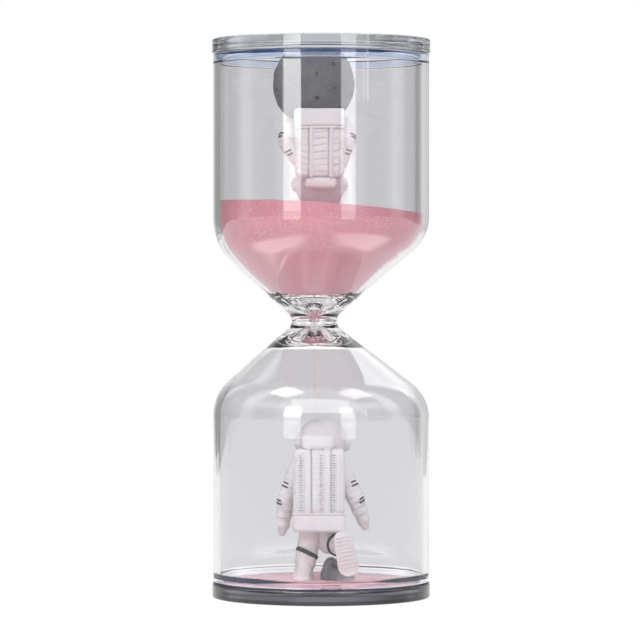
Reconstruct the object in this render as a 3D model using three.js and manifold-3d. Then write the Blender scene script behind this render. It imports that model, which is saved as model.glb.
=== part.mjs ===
// Sealed glass hourglass with two toy astronauts inside, in millimetres, +Z up.
// The hourglass stands on its lower disc. The figures face +Y and show their backs to -Y.
import * as THREE from 'three';
import { mergeVertices } from 'three/addons/utils/BufferGeometryUtils.js';
import { RoundedBoxGeometry } from 'three/addons/geometries/RoundedBoxGeometry.js';
import Module from 'manifold-3d';

const wasm = await Module();
wasm.setup();

// ---- driving dimensions of the vessel ----
const totalHeight = 192;
const gap = 0.3;
const discRadius = 37.6;
const discThickness = 5;
const discEdge = 0.5;
const sealHeight = 3;
const sealInner = 34.9;
const glassRadius = 37.2;
const wall = 1.8;
const waistHeight = 95;
const waistRadius = 7.8;
const waistFillet = 3.4;
const orificeRadius = 1.3;
const rimFillet = 4;
const neckShift = -2.4;
const turns = 44;

// The bulb above the waist is longer than the one below it.
const upperBulb = {
  cone: 48,
  shoulder: 18,
  rimStart: 2.5,
  funnel: 72,
  shiftFrom: 15,
  shiftTo: 34,
  end: totalHeight - discThickness - sealHeight - 2 * gap - waistHeight,
};
const lowerBulb = {
  cone: 51,
  shoulder: 16,
  rimStart: 1.6,
  funnel: 70,
  shiftFrom: 0,
  shiftTo: 34,
  end: waistHeight - discThickness - sealHeight - 2 * gap,
};

// ---- driving dimensions of the contents ----
const sandLevel = 135.4;
const sandTilt = -0.065;
const sandBow = -0.001;
const sandPit = 3.4;
const sandPitReach = 12;
const floorSand = 0.8;
const streamRadius = 0.45;
const helmetRadius = 8.4;
const limbRadius = 3.5;
const moonRadius = 14.15;

const group = new THREE.Group();
group.name = 'hourglass';

// ---- materials ----
function paint(color, roughness, metalness = 0, opacity = 1) {
  return new THREE.MeshStandardMaterial({
    color, roughness, metalness, opacity, transparent: opacity < 1,
  });
}
const clearGlass = paint(0xe4e6ea, 0.04, 0, 0.35);
const blueSeal = paint(0x3a5a86, 0.15, 0, 0.7);
const pinkSand = paint(0xdb9aa5, 0.95);
const whiteResin = paint(0xe8e0e4, 0.55);
const darkVisor = paint(0x2b2622, 0.12);
const moonGrey = paint(0x74747c, 0.8);

// ---- solids ----
function radians(degrees) {
  return degrees * Math.PI / 180;
}

function solid(geometry) {
  const bare = new THREE.BufferGeometry();
  bare.setAttribute('position', geometry.getAttribute('position'));
  if (geometry.index) bare.setIndex(geometry.index);
  const welded = mergeVertices(bare, 1e-4);
  return new wasm.Manifold(new wasm.Mesh({
    numProp: 3,
    vertProperties: Float32Array.from(welded.getAttribute('position').array),
    triVerts: Uint32Array.from(welded.index.array),
  }));
}

// Spins an outline of [radius, z, tag] about Z. An outline that starts and ends on
// the axis is capped by fans, any other outline closes on itself. The tag is optional
// and is handed to move, which puts every point in its place.
function spin(outline, segments, move = (x, y, z) => [x, y, z]) {
  const onAxis = outline[0][0] === 0;
  const ring = onAxis ? outline.slice(1, -1) : outline;
  const count = ring.length;
  const positions = [];
  const triangles = [];
  for (let turn = 0; turn < segments; turn += 1) {
    const angle = 2 * Math.PI * turn / segments;
    for (const [radius, z, tag] of ring) {
      positions.push(...move(radius * Math.cos(angle), radius * Math.sin(angle), z, tag));
    }
  }
  for (let turn = 0; turn < segments; turn += 1) {
    const here = turn * count;
    const next = ((turn + 1) % segments) * count;
    const steps = onAxis ? count - 1 : count;
    for (let step = 0; step < steps; step += 1) {
      const after = (step + 1) % count;
      triangles.push(here + step, next + step, next + after);
      triangles.push(here + step, next + after, here + after);
    }
  }
  if (onAxis) {
    const first = positions.length / 3;
    positions.push(...move(0, 0, ...outline[0].slice(1)));
    positions.push(...move(0, 0, ...outline[outline.length - 1].slice(1)));
    for (let turn = 0; turn < segments; turn += 1) {
      const here = turn * count;
      const next = ((turn + 1) % segments) * count;
      triangles.push(first, next, here);
      triangles.push(first + 1, here + count - 1, next + count - 1);
    }
  }
  const geometry = new THREE.BufferGeometry();
  geometry.setAttribute('position', new THREE.Float32BufferAttribute(positions, 3));
  geometry.setIndex(triangles);
  return solid(geometry);
}

function largest(shape) {
  const pieces = shape.decompose();
  pieces.sort((a, b) => b.volume() - a.volume());
  return pieces[0];
}

function addPart(name, shape, material) {
  const body = largest(shape);
  const mesh = body.getMesh();
  const geometry = new THREE.BufferGeometry();
  geometry.setAttribute('position', new THREE.Float32BufferAttribute(mesh.vertProperties, 3));
  geometry.setIndex(Array.from(mesh.triVerts));
  geometry.computeVertexNormals();
  const part = new THREE.Mesh(geometry, material);
  part.name = name;
  group.add(part);
}

function ball(centre, radii, grow = 0, around = 12, down = 7) {
  const outline = [];
  for (let step = 0; step <= down; step += 1) {
    const angle = Math.PI * (step / down - 0.5);
    const radius = step === 0 || step === down ? 0 : Math.cos(angle);
    outline.push([radius, Math.sin(angle)]);
  }
  const scale = radii.map((radius) => radius + grow);
  return spin(outline, around).scale(scale).translate(centre);
}

// A limb is a capsule that tapers from one end to the other.
function limb(from, to, startRadius, endRadius, grow = 0, around = 10) {
  const start = new THREE.Vector3(...from);
  const along = new THREE.Vector3(...to).sub(start);
  const length = along.length();
  const r0 = startRadius + grow;
  const r1 = endRadius + grow;
  const outline = [[0, -r0]];
  for (let step = 1; step <= 2; step += 1) {
    const angle = Math.PI / 2 * (step / 2 - 1);
    outline.push([r0 * Math.cos(angle), r0 * Math.sin(angle)]);
  }
  for (let step = 0; step < 2; step += 1) {
    const angle = Math.PI / 2 * (step / 2);
    outline.push([r1 * Math.cos(angle), length + r1 * Math.sin(angle)]);
  }
  outline.push([0, length + r1]);
  const turnTo = new THREE.Quaternion().setFromUnitVectors(
    new THREE.Vector3(0, 0, 1), along.normalize(),
  );
  const place = new THREE.Matrix4().compose(start, turnTo, new THREE.Vector3(1, 1, 1));
  return spin(outline, around).transform(place.toArray());
}

function block(centre, size, round, grow = 0) {
  const full = size.map((side) => side + 2 * grow);
  const box = new RoundedBoxGeometry(full[0], full[1], full[2], 1, round + grow);
  return solid(box).translate(centre);
}

function union(shapes) {
  return shapes.reduce((sum, shape) => sum.add(shape));
}

const roomy = 2 * totalHeight;
const aboveFloor = solid(new THREE.BoxGeometry(roomy, roomy, roomy)).translate([0, 0, roomy / 2]);

// ---- vessel outlines, as [radius, height above or below the waist] ----
function outerOutline(bulb) {
  const cone = radians(bulb.cone);
  const points = [];
  for (let step = 0; step <= 4; step += 1) {
    const angle = cone * step / 4;
    points.push([
      waistRadius + waistFillet * (1 - Math.cos(angle)), waistFillet * Math.sin(angle),
    ]);
  }
  const [coneRadius, coneRise] = points[points.length - 1];
  const arcRadius = glassRadius - bulb.shoulder * (1 - Math.cos(cone));
  const arcRise = coneRise + (arcRadius - coneRadius) / Math.tan(cone);
  for (let step = 0; step <= 5; step += 1) {
    const angle = cone * (1 - step / 5);
    points.push([
      glassRadius - bulb.shoulder * (1 - Math.cos(angle)),
      arcRise + bulb.shoulder * (Math.sin(cone) - Math.sin(angle)),
    ]);
  }
  points.push([glassRadius, bulb.end]);
  return points;
}

function innerOutline(bulb, inset = 0) {
  const cone = radians(bulb.cone);
  const funnel = radians(bulb.funnel);
  const bore = orificeRadius - inset;
  const rim = rimFillet + inset;
  const points = [[bore, 0]];
  for (let step = 0; step <= 3; step += 1) {
    const angle = funnel * step / 3;
    points.push([
      bore + rim * (1 - Math.cos(angle)), bulb.rimStart + rim * Math.sin(angle),
    ]);
  }
  const [funnelRadius, funnelRise] = points[points.length - 1];
  const outer = outerOutline(bulb);
  const [coneRadius, coneRise] = outer[4];
  const thickness = (wall + inset) / Math.cos(cone);
  const innerStart = coneRadius - thickness;
  const meet = (funnelRadius - innerStart + Math.tan(cone) * coneRise
    - Math.tan(funnel) * funnelRise) / (Math.tan(cone) - Math.tan(funnel));
  const meetRadius = funnelRadius + Math.tan(funnel) * (meet - funnelRise);
  const bend = 2.2;
  points.push([meetRadius - bend * Math.sin(funnel), meet - bend * Math.cos(funnel)]);
  points.push([meetRadius + bend * Math.sin(cone), meet + bend * Math.cos(cone)]);
  const inner = glassRadius - wall - inset;
  const shoulder = bulb.shoulder - wall - inset;
  const [, arcRise] = outer[5];
  for (let step = 0; step <= 5; step += 1) {
    const angle = cone * (1 - step / 5);
    points.push([
      inner - shoulder * (1 - Math.cos(angle)),
      arcRise + bulb.shoulder * Math.sin(cone) - shoulder * Math.sin(angle),
    ]);
  }
  points.push([inner, bulb.end]);
  return points;
}

// The waist sits a little to one side of the bulbs.
function neckOffset(rise) {
  const bulb = rise > 0 ? upperBulb : lowerBulb;
  return neckShift * (1 - THREE.MathUtils.smoothstep(Math.abs(rise), bulb.shiftFrom, bulb.shiftTo));
}

function placeInVessel(x, y, rise) {
  return [x + neckOffset(rise), y, waistHeight + rise];
}

function below(outline) {
  return outline.slice(1).reverse().map(([radius, rise]) => [radius, -rise]);
}

// ---- glass, discs and seals ----
const outerSkin = [...below(outerOutline(lowerBulb)), ...outerOutline(upperBulb)];
const innerSkin = [...below(innerOutline(lowerBulb)), ...innerOutline(upperBulb)];
addPart('glass_body', spin([...outerSkin, ...innerSkin.reverse()], turns, placeInVessel), clearGlass);

function disc(bottom) {
  const top = bottom + discThickness;
  return spin([
    [0, bottom],
    [discRadius - discEdge, bottom],
    [discRadius, bottom + discEdge],
    [discRadius, top - discEdge],
    [discRadius - discEdge, top],
    [0, top],
  ], turns);
}

function seal(bottom) {
  return spin([
    [sealInner, bottom],
    [glassRadius, bottom],
    [glassRadius, bottom + sealHeight],
    [sealInner, bottom + sealHeight],
  ], turns);
}

addPart('bottom_disc', disc(0), clearGlass);
addPart('top_disc', disc(totalHeight - discThickness), clearGlass);
addPart('bottom_seal_ring', seal(discThickness + gap), blueSeal);
addPart('top_seal_ring', seal(totalHeight - discThickness - gap - sealHeight), blueSeal);

// ---- astronaut ----
// Every shape can be asked for slightly grown, so a neighbour can be cut clear of it.
function helmetBall(figure, grow = 0) {
  return ball(figure.head, [helmetRadius, helmetRadius, helmetRadius], grow, 18, 10);
}

function visorBall(figure, grow = 0) {
  const [x, y, z] = figure.head;
  return ball([x, y + 3.4, z], [6.9, 6.1, 5.2], grow, 14, 8);
}

function earDiscs(figure, grow = 0) {
  const [x, y, z] = figure.head;
  return [-1, 1].map((side) => limb(
    [x + side * 7.0, y, z - 0.6], [x + side * 7.4, y, z - 0.6], 1.6, 1.6, grow, 8,
  ));
}

function torsoShape(figure, grow = 0) {
  const [x, y, low] = figure.seat;
  const tall = figure.shoulder - low;
  return union([
    ball([x, y, low + 2.5], [7.2, 5.4, 5.2], grow),
    ball([x, y, low + tall * 0.62], [8.4, 5.8, tall * 0.46], grow),
    limb([x, y, figure.shoulder], [x, y, figure.shoulder + 2], 5.6, 5.2, grow),
  ]);
}

function packShape(figure, grow = 0) {
  const { left, right, base, mid, top, flap, back, front } = figure.pack;
  const centre = (left + right) / 2;
  const depth = front - back;
  const ribs = 5;
  const side = new THREE.Shape();
  const rib = (top - mid) / ribs;
  side.moveTo(front + grow, mid - grow);
  side.lineTo(front + grow, top + grow);
  side.lineTo(back - grow, top + grow);
  for (let step = 0; step < ribs; step += 1) {
    const high = top - rib * step;
    side.lineTo(back - grow, high - rib * 0.2);
    side.lineTo(back - grow - 0.7, high - rib * 0.5);
    side.lineTo(back - grow, high - rib * 0.8);
  }
  side.lineTo(back - grow, mid - grow);
  const quilt = new THREE.ExtrudeGeometry(side, {
    depth: right - left + 2 * grow, bevelEnabled: false,
  });
  // The outline is drawn in depth and height, then stood up and run across the back.
  const standing = solid(quilt).transform(new THREE.Matrix4().makeBasis(
    new THREE.Vector3(0, 1, 0), new THREE.Vector3(0, 0, 1), new THREE.Vector3(1, 0, 0),
  ).toArray()).translate([left - grow, 0, 0]);
  const straps = [-1, 1].map((hand) => block(
    [centre - 0.6 + hand * 3.4, back - 0.2, (mid + top) / 2], [1.6, 2.2, top - mid - 0.4], 0.4, grow,
  ));
  return union([
    standing,
    block([centre, (back + front) / 2, (base + mid) / 2 + 0.3],
      [right - left + 0.6, depth + 0.8, mid - base + 0.6], 1.2, grow),
    block([centre - 0.5, (back + front) / 2 - 0.4, (top + flap) / 2 - 0.4],
      [11.2, depth - 0.6, flap - top + 0.8], 1, grow),
    ...straps,
  ]);
}

function armShape({ shoulder, elbow, hand }, grow = 0) {
  return union([
    limb(shoulder, elbow, limbRadius, limbRadius - 0.2, grow),
    limb(elbow, hand, limbRadius - 0.2, 2.8, grow),
    ball(hand, [2.7, 2.9, 3.1], grow, 10, 6),
  ]);
}

// A boot is made standing at the origin with its toe along +Y, then placed.
function bootShape(boot, grow = 0) {
  const toeHalf = 3.7;
  const heelHalf = 3.1;
  const back = -6;
  const ahead = 9.8;
  const outline = new THREE.Shape();
  outline.absarc(0, ahead - toeHalf, toeHalf + grow, 0, Math.PI);
  outline.absarc(0, back + heelHalf, heelHalf + grow, Math.PI, 2 * Math.PI);
  const plate = new THREE.ExtrudeGeometry(outline, {
    depth: 2.2 + 2 * grow, bevelEnabled: false, curveSegments: 5,
  });
  const upper = union([
    ball([0, 4, 2.4], [3.5, 5.3, 3.4], grow, 10, 6),
    ball([0, -2, 3.4], [3.1, 3.8, 4.2], grow, 10, 6),
  ]);
  let shape = solid(plate).translate([0, 0, -grow]).add(upper.intersect(aboveFloor));
  if (grow === 0) {
    const ridges = 8;
    for (let ridge = 1; ridge < ridges; ridge += 1) {
      const y = back + (ahead - back) * ridge / ridges;
      const groove = new THREE.BoxGeometry(2 * toeHalf + 2, 0.7, 1.2);
      shape = shape.subtract(solid(groove).translate([0, y, 0]));
    }
  }
  const up = new THREE.Vector3(...boot.up).normalize();
  const toe = new THREE.Vector3(...boot.toe).normalize();
  const across = toe.clone().cross(up);
  const place = new THREE.Matrix4().makeBasis(across, toe, up).setPosition(...boot.at);
  return shape.transform(place.toArray());
}

function legShape({ hip, knee, ankle, boot }, grow = 0) {
  return union([
    limb(hip, knee, limbRadius + 0.6, limbRadius + 0.3, grow),
    limb(knee, ankle, limbRadius + 0.3, limbRadius - 0.1, grow),
    bootShape(boot, grow),
  ]);
}

// Builds one astronaut from its joints. ground lists what the astronaut sits on.
function astronaut(prefix, figure, place, ground) {
  const clear = (shape, others) => others.reduce((rest, other) => rest.subtract(other), shape);
  const helmet = union([helmetBall(figure), ...earDiscs(figure)]);
  const helmetRoom = union([helmetBall(figure, gap), ...earDiscs(figure, gap)]);
  const torso = clear(torsoShape(figure), [helmetRoom, ...ground]);
  const torsoRoom = torsoShape(figure, gap);
  const pack = clear(packShape(figure), [helmetRoom, torsoRoom, ...ground]);
  const packRoom = packShape(figure, gap);
  const solids = {
    helmet: helmet.subtract(visorBall(figure, gap)),
    visor: visorBall(figure),
    torso,
    backpack: pack,
  };
  const taken = [helmetRoom, torsoRoom, packRoom, ...ground];
  for (const side of ['left', 'right']) {
    solids[`${side}_leg`] = clear(legShape(figure[`${side}Leg`]), taken);
    taken.push(legShape(figure[`${side}Leg`], gap));
  }
  for (const side of ['left', 'right']) {
    solids[`${side}_arm`] = clear(armShape(figure[`${side}Arm`]), taken);
    taken.push(armShape(figure[`${side}Arm`], gap));
  }
  for (const [part, shape] of Object.entries(solids)) {
    addPart(`${prefix}_${part}`, place(shape), part === 'visor' ? darkVisor : whiteResin);
  }
  return taken;
}

// ---- walking astronaut, on the lower disc ----
const walkingFloor = discThickness + gap;
const walker = {
  head: [0.5, 0.6, 48.2],
  seat: [-0.2, 0, 20.2],
  shoulder: 38.4,
  pack: { left: -9.5, right: 8.1, base: 17.8, mid: 23.7, top: 46.3, flap: 51.3, back: -12.6, front: -5.4 },
  leftArm: { shoulder: [-7.2, 0, 39.2], elbow: [-12.3, -1, 28.4], hand: [-13.0, 1, 19.0] },
  rightArm: { shoulder: [6.4, 0, 39.2], elbow: [12.0, -2, 28.8], hand: [14.7, 0.4, 21.2] },
  leftLeg: {
    hip: [-3.4, 0, 20.2],
    knee: [-4.4, 1.2, 12.8],
    ankle: [-5.6, 0, 6.2],
    boot: { at: [-6.3, 1, 0], toe: [0, 1, 0], up: [0, 0, 1] },
  },
  rightLeg: {
    hip: [4.0, 0, 20.4],
    knee: [4.8, 1.6, 13.2],
    ankle: [7.0, -6.6, 12.9],
    boot: { at: [7.9, -13.4, 12.4], toe: [0.205, 0, -0.979], up: [0, 1, 0] },
  },
};
const standOnDisc = (shape) => shape.translate([0, 0, walkingFloor]);
const walkerRoom = union(astronaut('walking', walker, standOnDisc, []));

function rock(grow = 0) {
  return union([
    ball([3.7, -1.4, 0], [4.0, 4.6, 8.5], grow, 12, 8),
    ball([6.4, -0.8, 0], [4.5, 5.2, 5.6], grow, 12, 8),
  ]);
}

const rockBody = rock()
  .intersect(aboveFloor)
  .subtract(ball([3.0, -6.2, 3.2], [1.5, 1.6, 1.5], 0, 10, 6))
  .subtract(walkerRoom);
addPart('moon_rock', standOnDisc(rockBody), moonGrey);

// ---- sitting astronaut, upside down on the moon under the upper disc ----
const ceiling = totalHeight - discThickness - gap;
const moonCentre = [2.6, 0, 10.1];
const sitter = {
  head: [0.5, 0.4, 45.2],
  seat: [1.2, -1.6, 24.4],
  shoulder: 36.0,
  pack: { left: -7.7, right: 8.8, base: 18.9, mid: 25.1, top: 42.7, flap: 46.4, back: -13.6, front: -6.8 },
  leftArm: { shoulder: [-5.8, -1.2, 36.4], elbow: [-8.8, -3, 29.6], hand: [-8.7, 1.2, 24.8] },
  rightArm: { shoulder: [6.4, -1.2, 36.4], elbow: [11.7, -3, 29.6], hand: [10.6, 1.2, 24.8] },
  leftLeg: {
    hip: [-2.2, -1, 27.2],
    knee: [-3.4, 10.2, 24.8],
    ankle: [-4.0, 16.8, 15.0],
    boot: { at: [-4.2, 19.0, 8.8], toe: [-0.1, 0.9, -0.3], up: [0, 0.3, 0.9] },
  },
  rightLeg: {
    hip: [5.6, -1, 27.2],
    knee: [8.0, 10.2, 24.8],
    ankle: [9.0, 16.4, 15.0],
    boot: { at: [9.2, 18.6, 8.8], toe: [0.1, 0.9, -0.3], up: [0, 0.3, 0.9] },
  },
};

function moon(grow = 0, around = 24, down = 14) {
  return ball(moonCentre, [moonRadius, moonRadius, moonRadius], grow, around, down);
}

function turnOver(shape) {
  return shape.rotate([0, 180, 0]).translate([0, 0, ceiling]);
}

astronaut('sitting', sitter, turnOver, [moon(gap)]);

// Craters are dimples spread evenly over the moon by the golden angle.
const craters = 12;
let moonBody = moon().intersect(aboveFloor);
for (let crater = 0; crater < craters; crater += 1) {
  const height = 0.62 - 1.3 * crater / craters;
  const angle = radians(137.5 * crater - 100);
  const reach = Math.sqrt(1 - height * height);
  const away = new THREE.Vector3(reach * Math.cos(angle), reach * Math.sin(angle), height);
  const size = 0.9 + 0.5 * ((crater * 7) % 4) / 3;
  const centre = away.multiplyScalar(moonRadius + size * 0.45).add(new THREE.Vector3(...moonCentre));
  if (centre.z > size + 1) {
    moonBody = moonBody.subtract(ball(centre.toArray(), [size, size, size], 0, 7, 4));
  }
}
addPart('moon_sphere', turnOver(moonBody), moonGrey);

// ---- sand ----
function sandTop(x, y) {
  const away = Math.hypot(x + sitter.head[0], y - sitter.head[1]);
  const pit = sandPit * Math.exp(-((away / sandPitReach) ** 2));
  return sandLevel + sandTilt * x + sandBow * x * x - pit;
}

// The filling follows the inside of the glass up to the shoulder and is levelled on top.
const sandEdge = glassRadius - wall - gap;
const topRings = 4;
const sandOutline = [[0, 0.8], [orificeRadius - gap, 0.8], ...innerOutline(upperBulb, gap).slice(1, -2)];
for (let ring = topRings; ring >= 0; ring -= 1) {
  sandOutline.push([sandEdge * ring / topRings, 0, 'top']);
}
addPart('upper_sand', spin(sandOutline, turns, (x, y, rise, tag) => (
  tag === 'top' ? [x, y, sandTop(x, y)] : placeInVessel(x, y, rise)
)), pinkSand);

const streamBottom = walkingFloor + walker.head[2] + helmetRadius + gap;
addPart('sand_stream', spin([
  [0, streamBottom], [streamRadius, streamBottom],
  [streamRadius, waistHeight + 0.5], [0, waistHeight + 0.5],
], 10).translate([neckShift, 0, 0]), pinkSand);

const floorEdge = sealInner - gap;
const layer = spin([
  [0, 0], [floorEdge * 0.5, 0], [floorEdge, 0],
  [floorEdge, floorSand * 0.7], [floorEdge * 0.5, floorSand], [0, floorSand * 1.5],
], turns);
const layerBody = layer.subtract(walkerRoom).subtract(rock(gap));
addPart('lower_sand', standOnDisc(layerBody), pinkSand);

export default group;
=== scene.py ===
"""A sealed glass hourglass with two toy astronauts inside, drawn over its CAD frame.

Shapes are worked out in millimetres and turned into metres when a piece is made.
The walking astronaut stands on the lower disc. The sitting one hangs upside down
on a moon under the upper disc. Both face +Y.
"""
import math

import bmesh
import bpy
import numpy as np
from mathutils import Matrix, Vector


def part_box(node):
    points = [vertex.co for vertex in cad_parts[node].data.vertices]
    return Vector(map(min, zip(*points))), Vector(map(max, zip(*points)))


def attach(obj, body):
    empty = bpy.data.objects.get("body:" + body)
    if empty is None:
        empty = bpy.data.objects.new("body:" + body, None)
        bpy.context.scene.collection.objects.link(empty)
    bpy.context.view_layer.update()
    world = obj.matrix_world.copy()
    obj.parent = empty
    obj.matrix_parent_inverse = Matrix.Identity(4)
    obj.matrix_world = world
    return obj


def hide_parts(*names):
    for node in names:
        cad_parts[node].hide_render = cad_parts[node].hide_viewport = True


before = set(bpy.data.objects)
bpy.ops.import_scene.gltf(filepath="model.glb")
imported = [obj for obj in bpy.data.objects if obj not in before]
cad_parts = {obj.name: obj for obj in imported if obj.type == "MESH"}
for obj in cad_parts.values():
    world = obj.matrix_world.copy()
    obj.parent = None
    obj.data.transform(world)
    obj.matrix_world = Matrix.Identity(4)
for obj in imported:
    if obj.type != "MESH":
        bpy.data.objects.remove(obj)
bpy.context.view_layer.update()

MM = 0.001
QUARTER = math.pi / 2

# ---- vessel, the same driving dimensions as the CAD ----
DISC_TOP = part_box("bottom_disc")[1][2] / MM
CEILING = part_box("top_disc")[0][2] / MM
DISC_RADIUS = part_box("bottom_disc")[1][0] / MM
GLASS_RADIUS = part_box("glass_body")[1][0] / MM
GLASS_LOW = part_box("glass_body")[0][2] / MM
GLASS_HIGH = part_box("glass_body")[1][2] / MM
SEAL_INNER = 34.9
WALL = 1.8
WAIST_HEIGHT = 95
WAIST_RADIUS = 7.8
WAIST_FILLET = 3.4
ORIFICE_RADIUS = 1.3
RIM_FILLET = 4
NECK_SHIFT = -2.4
# The side of the lower disc is tinted in three dark bands of painted shade, darkest at the foot. The
# bands meet at these heights above its foot.
FOOT_TOP = 1.5
EDGE_LOW = 3.4

UPPER_BULB = {
    "cone": 48, "shoulder": 18, "rim_start": 2.5, "funnel": 72,
    "shift_from": 15, "shift_to": 34, "end": GLASS_HIGH - WAIST_HEIGHT,
}
LOWER_BULB = {
    "cone": 51, "shoulder": 16, "rim_start": 1.6, "funnel": 70,
    "shift_from": 0, "shift_to": 34, "end": WAIST_HEIGHT - GLASS_LOW,
}

# ---- contents ----
SAND_LEVEL = 135.4
SAND_TILT = -0.065
SAND_BOW = -0.001
SAND_PIT = 3.4
SAND_PIT_REACH = 12
HELMET_RADIUS = 8.4
LIMB_RADIUS = 3.5
MOON_RADIUS = 14.15
MOON_CENTRE = (2.6, 0, 10.1)

# ---- camera ----
CAMERA_DISTANCE = 1.254
CAMERA_HEIGHT = 0.113
CAMERA_PITCH = 0.804
CAMERA_LENS = 204.6

# ---- room brightness by direction: degrees from straight behind, left is negative ----
ROOM = (
    (-180, 0.5), (-133, 0.7), (-128, 0.2), (-102, 0.2), (-97, 1.0), (-83, 1.0), (-78, 0.15),
    (-48, 0.15), (-42, 0.7), (-37, 0.22), (-27, 0.25), (-12, 0.88), (-8, 1.0), (8, 1.0),
    (11, 0.72), (31, 0.7), (36, 1.0), (43, 1.0), (48, 0.15), (78, 0.15), (83, 1.0),
    (97, 1.0), (102, 0.2), (128, 0.2), (133, 0.7), (180, 0.5),
)
SKY_LIFT = 2.4

# ---- glow of the table by distance from the middle, in metres ----
FLOOR_GLOW = ((0.0, 0), (0.06, 0), (0.085, 1), (0.15, 1), (0.2, 0), (1.0, 0))

scene = bpy.context.scene


# ---- shapes ----
# A shape is a pair: an array of points in millimetres and a list of faces.

def arc(centre, radius, start, end, steps):
    """Points on an arc of a (radius, z) outline, by angles from outward towards up."""
    angles = (start + (end - start) * step / steps for step in range(steps + 1))
    return [
        (centre[0] + radius * math.cos(angle), centre[1] + radius * math.sin(angle))
        for angle in angles
    ]


def spin(outline, turns):
    """Turns an outline of (radius, z) about Z. It is capped where it meets the axis."""
    on_axis = outline[0][0] == 0
    ring = np.array(outline[1:-1] if on_axis else outline, float)
    angles = np.linspace(0, 2 * math.pi, turns, endpoint=False)
    points = np.empty((turns, len(ring), 3))
    points[..., 0] = np.outer(np.cos(angles), ring[:, 0])
    points[..., 1] = np.outer(np.sin(angles), ring[:, 0])
    points[..., 2] = ring[:, 1]
    points = points.reshape(-1, 3)
    count = len(ring)
    steps = count - 1 if on_axis else count
    faces = []
    for turn in range(turns):
        here = turn * count
        after = (turn + 1) % turns * count
        for step in range(steps):
            up = (step + 1) % count
            faces.append((here + step, after + step, after + up, here + up))
    if on_axis:
        low = len(points)
        points = np.vstack([points, (0, 0, outline[0][1]), (0, 0, outline[-1][1])])
        for turn in range(turns):
            here = turn * count
            after = (turn + 1) % turns * count
            faces.append((low, after, here))
            faces.append((low + 1, here + count - 1, after + count - 1))
    return points, faces


def ball(centre, radii, around=40, down=24):
    outline = [(0, -1)] + arc((0, 0), 1, -QUARTER, QUARTER, down)[1:-1] + [(0, 1)]
    points, faces = spin(outline, around)
    return points * np.array(radii) + np.array(centre), faces


def limb(start, end, start_radius, end_radius, around=32):
    """A tapered capsule from start to end."""
    along = Vector(end) - Vector(start)
    length = along.length
    outline = [(0, -start_radius)]
    outline += arc((0, 0), start_radius, -QUARTER, 0, 8)[1:]
    outline += arc((0, length), end_radius, 0, QUARTER, 8)[:-1]
    outline.append((0, length + end_radius))
    return along_axis(spin(outline, around), start, along)


def along_axis(shape, start, along):
    """Turns a shape made on +Z to point along a direction and moves it to start."""
    points, faces = shape
    turn = np.array(Vector(along).to_track_quat("Z", "Y").to_matrix())
    return points @ turn.T + np.array(start), faces


def block(centre, size, rounding, segments=4):
    """A box with rounded edges."""
    box = bmesh.new()
    bmesh.ops.create_cube(box, size=1)
    bmesh.ops.scale(box, vec=size, verts=box.verts)
    bmesh.ops.bevel(
        box, geom=box.edges[:], offset=rounding, segments=segments, affect="EDGES", profile=0.5,
    )
    box.verts.ensure_lookup_table()
    points = np.array([vert.co for vert in box.verts]) + np.array(centre)
    faces = [tuple(vert.index for vert in face.verts) for face in box.faces]
    box.free()
    return points, faces


def band(start, along, radius, width, thickness, around=64, squeeze=(1, 1)):
    """A flat ring with rounded edges, such as a cuff."""
    outline = []
    for step in range(12):
        angle = 2 * math.pi * step / 12
        outline.append((
            radius + thickness / 2 * math.cos(angle),
            width / 2 * math.copysign(abs(math.sin(angle)) ** 0.5, math.sin(angle)),
        ))
    points, faces = spin(outline, around)
    points[:, 0] *= squeeze[0]
    points[:, 1] *= squeeze[1]
    return along_axis((points, faces), start, along)


def tube_faces(rows, count):
    """Faces of a tube made of rows of count points, with a cap at each end."""
    faces = [tuple(range(count))[::-1], tuple(range((rows - 1) * count, rows * count))]
    for here in range(0, (rows - 1) * count, count):
        above = here + count
        for step in range(count):
            after = (step + 1) % count
            faces.append((here + step, here + after, above + after, above + step))
    return faces


def moved(shape, matrix):
    points, faces = shape
    return points @ np.array(matrix.to_3x3()).T + np.array(matrix.translation), faces


def together(shapes):
    points = []
    faces = []
    start = 0
    for shape_points, shape_faces in shapes:
        points.append(shape_points)
        faces += [tuple(index + start for index in face) for face in shape_faces]
        start += len(shape_points)
    return np.vstack(points), faces


def new_object(name, data):
    item = bpy.data.objects.new(name, data)
    scene.collection.objects.link(item)
    return item


def add_piece(name, shape, material, node, place=None):
    """Makes an object from a shape, puts it in its place and lets it ride on the body."""
    points, faces = shape if place is None else moved(shape, place)
    mesh = bpy.data.meshes.new(name)
    mesh.from_pydata((points * MM).tolist(), [], faces)
    mesh.materials.append(material)
    mesh.shade_smooth()
    mesh.set_sharp_from_angle(angle=math.radians(35))
    piece = new_object(name, mesh)
    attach(piece, "root")
    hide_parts(node)
    return piece


def read_vectors(items, attribute):
    values = np.empty(len(items) * 3)
    items.foreach_get(attribute, values)
    return values.reshape(-1, 3)


def fuse(shapes, voxel=0.3, smoothing=5, relief=None):
    """Joins closed shapes into one skin, softens it and raises its relief."""
    points, faces = together(shapes)
    mesh = bpy.data.meshes.new("rough")
    mesh.from_pydata(points.tolist(), [], faces)
    rough = new_object("rough", mesh)
    remesh = rough.modifiers.new("skin", "REMESH")
    remesh.mode = "VOXEL"
    remesh.voxel_size = voxel
    soften = rough.modifiers.new("soften", "SMOOTH")
    soften.factor = 0.5
    soften.iterations = smoothing
    graph = bpy.context.evaluated_depsgraph_get()
    skin = bpy.data.meshes.new_from_object(rough.evaluated_get(graph))
    points = read_vectors(skin.vertices, "co")
    if relief is not None:
        normals = read_vectors(skin.vertex_normals, "vector")
        points = points + normals * relief(points)[:, None]
    faces = [tuple(polygon.vertices) for polygon in skin.polygons]
    bpy.data.objects.remove(rough)
    bpy.data.meshes.remove(mesh)
    bpy.data.meshes.remove(skin)
    return points, faces


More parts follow.
